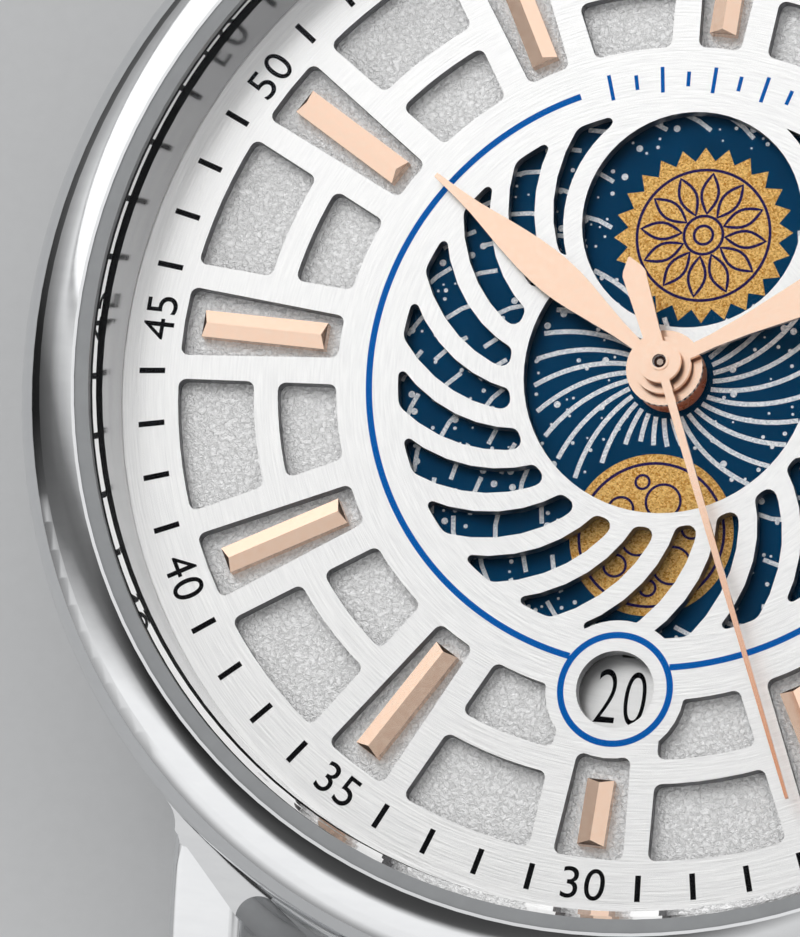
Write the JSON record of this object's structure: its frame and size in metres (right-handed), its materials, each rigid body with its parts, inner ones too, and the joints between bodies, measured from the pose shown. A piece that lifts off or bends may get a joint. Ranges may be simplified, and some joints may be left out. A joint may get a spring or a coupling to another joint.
{
  "type": "quartz watch head",
  "caption": "Round wristwatch head with a pierced dial over a turning day and night disc, leaf hands, date window, crown and strap lugs.",
  "frame": {"origin": "centre of the case back's flat face, on the axis of the hands", "axes": "+X to 3 o'clock and the crown, +Y to 12 o'clock, +Z out of the dial"},
  "size_m": [0.0448, 0.0494, 0.0101],
  "materials": {
    "polished_steel": "polished stainless steel",
    "satin_steel": "satin stainless steel",
    "tool_steel": "hardened steel",
    "sapphire": "clear, domed",
    "nylon": "grey nylon",
    "black_rubber": "moulded",
    "silvered_brass": "silvered, circular brushed",
    "frosted_silver": "silvered, frosted grain",
    "rose_gold": "rose gold plated, polished",
    "blue_print": "deep blue with silver and gold print",
    "white_lacquer": "white with black numbers",
    "grey_plastic": "moulded",
    "nickel_brass": "nickel plated",
    "wheel_brass": "turned and cut",
    "copper_wire": "enamelled winding",
    "soft_iron": "bright annealed",
    "circuit_laminate": "green laminate",
    "black_resin": "moulded",
    "magnet": "sintered",
    "white_plastic": "moulded"
  },
  "bodies": {
    "case": {"mid_case": "polished_steel", "bezel": "polished_steel", "crystal": "sapphire", "crystal_gasket": "nylon", "rehaut_ring": "satin_steel", "case_back": "satin_steel", "case_back_gasket": "black_rubber", "crown_tube": "satin_steel", "dial_plate": "silvered_brass", "dial_base": "frosted_silver", "hour_markers": "rose_gold", "movement_ring": "grey_plastic", "main_plate": "nickel_brass", "train_bridge": "nickel_brass", "bridge_screws": "tool_steel", "battery": "satin_steel", "battery_clamp": "tool_steel", "clamp_screws": "tool_steel", "coil": "copper_wire", "coil_core": "soft_iron", "stator": "soft_iron", "stator_screws": "tool_steel", "circuit_board": "circuit_laminate", "chip": "black_resin", "quartz_can": "satin_steel", "date_jumper": "tool_steel", "jumper_screw": "tool_steel", "yoke": "tool_steel"},
    "seconds": {"second_wheel": "wheel_brass", "second_hand": "rose_gold"},
    "minutes": {"centre_wheel": "wheel_brass", "cannon_pinion": "tool_steel", "minute_hand": "rose_gold"},
    "hours": {"hour_wheel": "wheel_brass", "hour_hand": "rose_gold"},
    "day_night": {"day_night_wheel": "wheel_brass", "day_night_disc": "blue_print"},
    "intermediate": {"intermediate_wheel": "white_plastic"},
    "rotor": {"rotor": "magnet"},
    "third": {"third_wheel": "wheel_brass"},
    "minute_train": {"minute_wheel": "wheel_brass"},
    "date_drive": {"date_driving_wheel": "white_plastic"},
    "setting": {"setting_wheel": "wheel_brass"},
    "date": {"date_ring": "white_lacquer"},
    "clutch": {"sliding_pinion": "tool_steel"},
    "crown": {"crown": "polished_steel", "winding_stem": "tool_steel", "crown_gasket": "black_rubber"},
    "setting_lever": {"setting_lever": "tool_steel"}
  },
  "joints": [
    {"name": "seconds_turn", "type": "hinge", "parent": "case", "child": "seconds", "pos_m": [0, 0, 0.005], "axis": [0, 0, -1], "continuous": true},
    {"name": "minutes_turn", "type": "hinge", "parent": "case", "child": "minutes", "pos_m": [0, 0, 0.005], "axis": [0, 0, -1], "continuous": true},
    {"name": "hours_turn", "type": "hinge", "parent": "case", "child": "hours", "pos_m": [0, 0, 0.005], "axis": [0, 0, -1], "continuous": true},
    {"name": "day_night_turn", "type": "hinge", "parent": "case", "child": "day_night", "pos_m": [0, 0, 0.005], "axis": [0, 0, -1], "continuous": true},
    {"name": "intermediate_turn", "type": "hinge", "parent": "case", "child": "intermediate", "pos_m": [-0.00056, -0.0032, 0.005], "axis": [0, 0, -1], "continuous": true},
    {"name": "rotor_turn", "type": "hinge", "parent": "case", "child": "rotor", "pos_m": [-0.00172, -0.0052, 0.005], "axis": [0, 0, -1], "continuous": true},
    {"name": "third_turn", "type": "hinge", "parent": "case", "child": "third", "pos_m": [0.00301, -0.00109, 0.005], "axis": [0, 0, -1], "continuous": true},
    {"name": "minute_train_turn", "type": "hinge", "parent": "case", "child": "minute_train", "pos_m": [0.00253, 0.00212, 0.005], "axis": [0, 0, -1], "continuous": true},
    {"name": "date_drive_turn", "type": "hinge", "parent": "case", "child": "date_drive", "pos_m": [-0.00508, 0.00293, 0.005], "axis": [0, 0, -1], "continuous": true},
    {"name": "setting_turn", "type": "hinge", "parent": "case", "child": "setting", "pos_m": [0.0055, 0, 0.005], "axis": [0, 0, -1], "continuous": true},
    {"name": "date_turn", "type": "hinge", "parent": "case", "child": "date", "pos_m": [0, 0, 0.005], "axis": [0, 0, -1], "continuous": true},
    {"name": "crown_turn", "type": "hinge", "parent": "case", "child": "clutch", "pos_m": [0.0076, 0, 0.0045], "axis": [1, 0, 0], "continuous": true},
    {"name": "crown_pull", "type": "slide", "parent": "clutch", "child": "crown", "axis": [1, 0, 0], "range_m": [0, 0.0009]},
    {"name": "lever_swing", "type": "hinge", "parent": "case", "child": "setting_lever", "pos_m": [0.0096, 0.0024, 0.0051], "axis": [0, 0, 1], "range_deg": [0, 21.7]}
  ],
  "couplings": [
    {"joint": "intermediate_turn", "follows": "seconds_turn", "ratio": -3},
    {"joint": "rotor_turn", "follows": "seconds_turn", "ratio": 30},
    {"joint": "third_turn", "follows": "seconds_turn", "ratio": -0.13333},
    {"joint": "minutes_turn", "follows": "seconds_turn", "ratio": 0.016667},
    {"joint": "minute_train_turn", "follows": "seconds_turn", "ratio": -0.0055556},
    {"joint": "hours_turn", "follows": "seconds_turn", "ratio": 0.0013889},
    {"joint": "day_night_turn", "follows": "seconds_turn", "ratio": 0.00069444},
    {"joint": "date_drive_turn", "follows": "seconds_turn", "ratio": -0.00069444},
    {"joint": "setting_turn", "follows": "seconds_turn", "ratio": 0.011667},
    {"joint": "lever_swing", "follows": "crown_pull", "rad_per_m": 419.15}
  ]
}
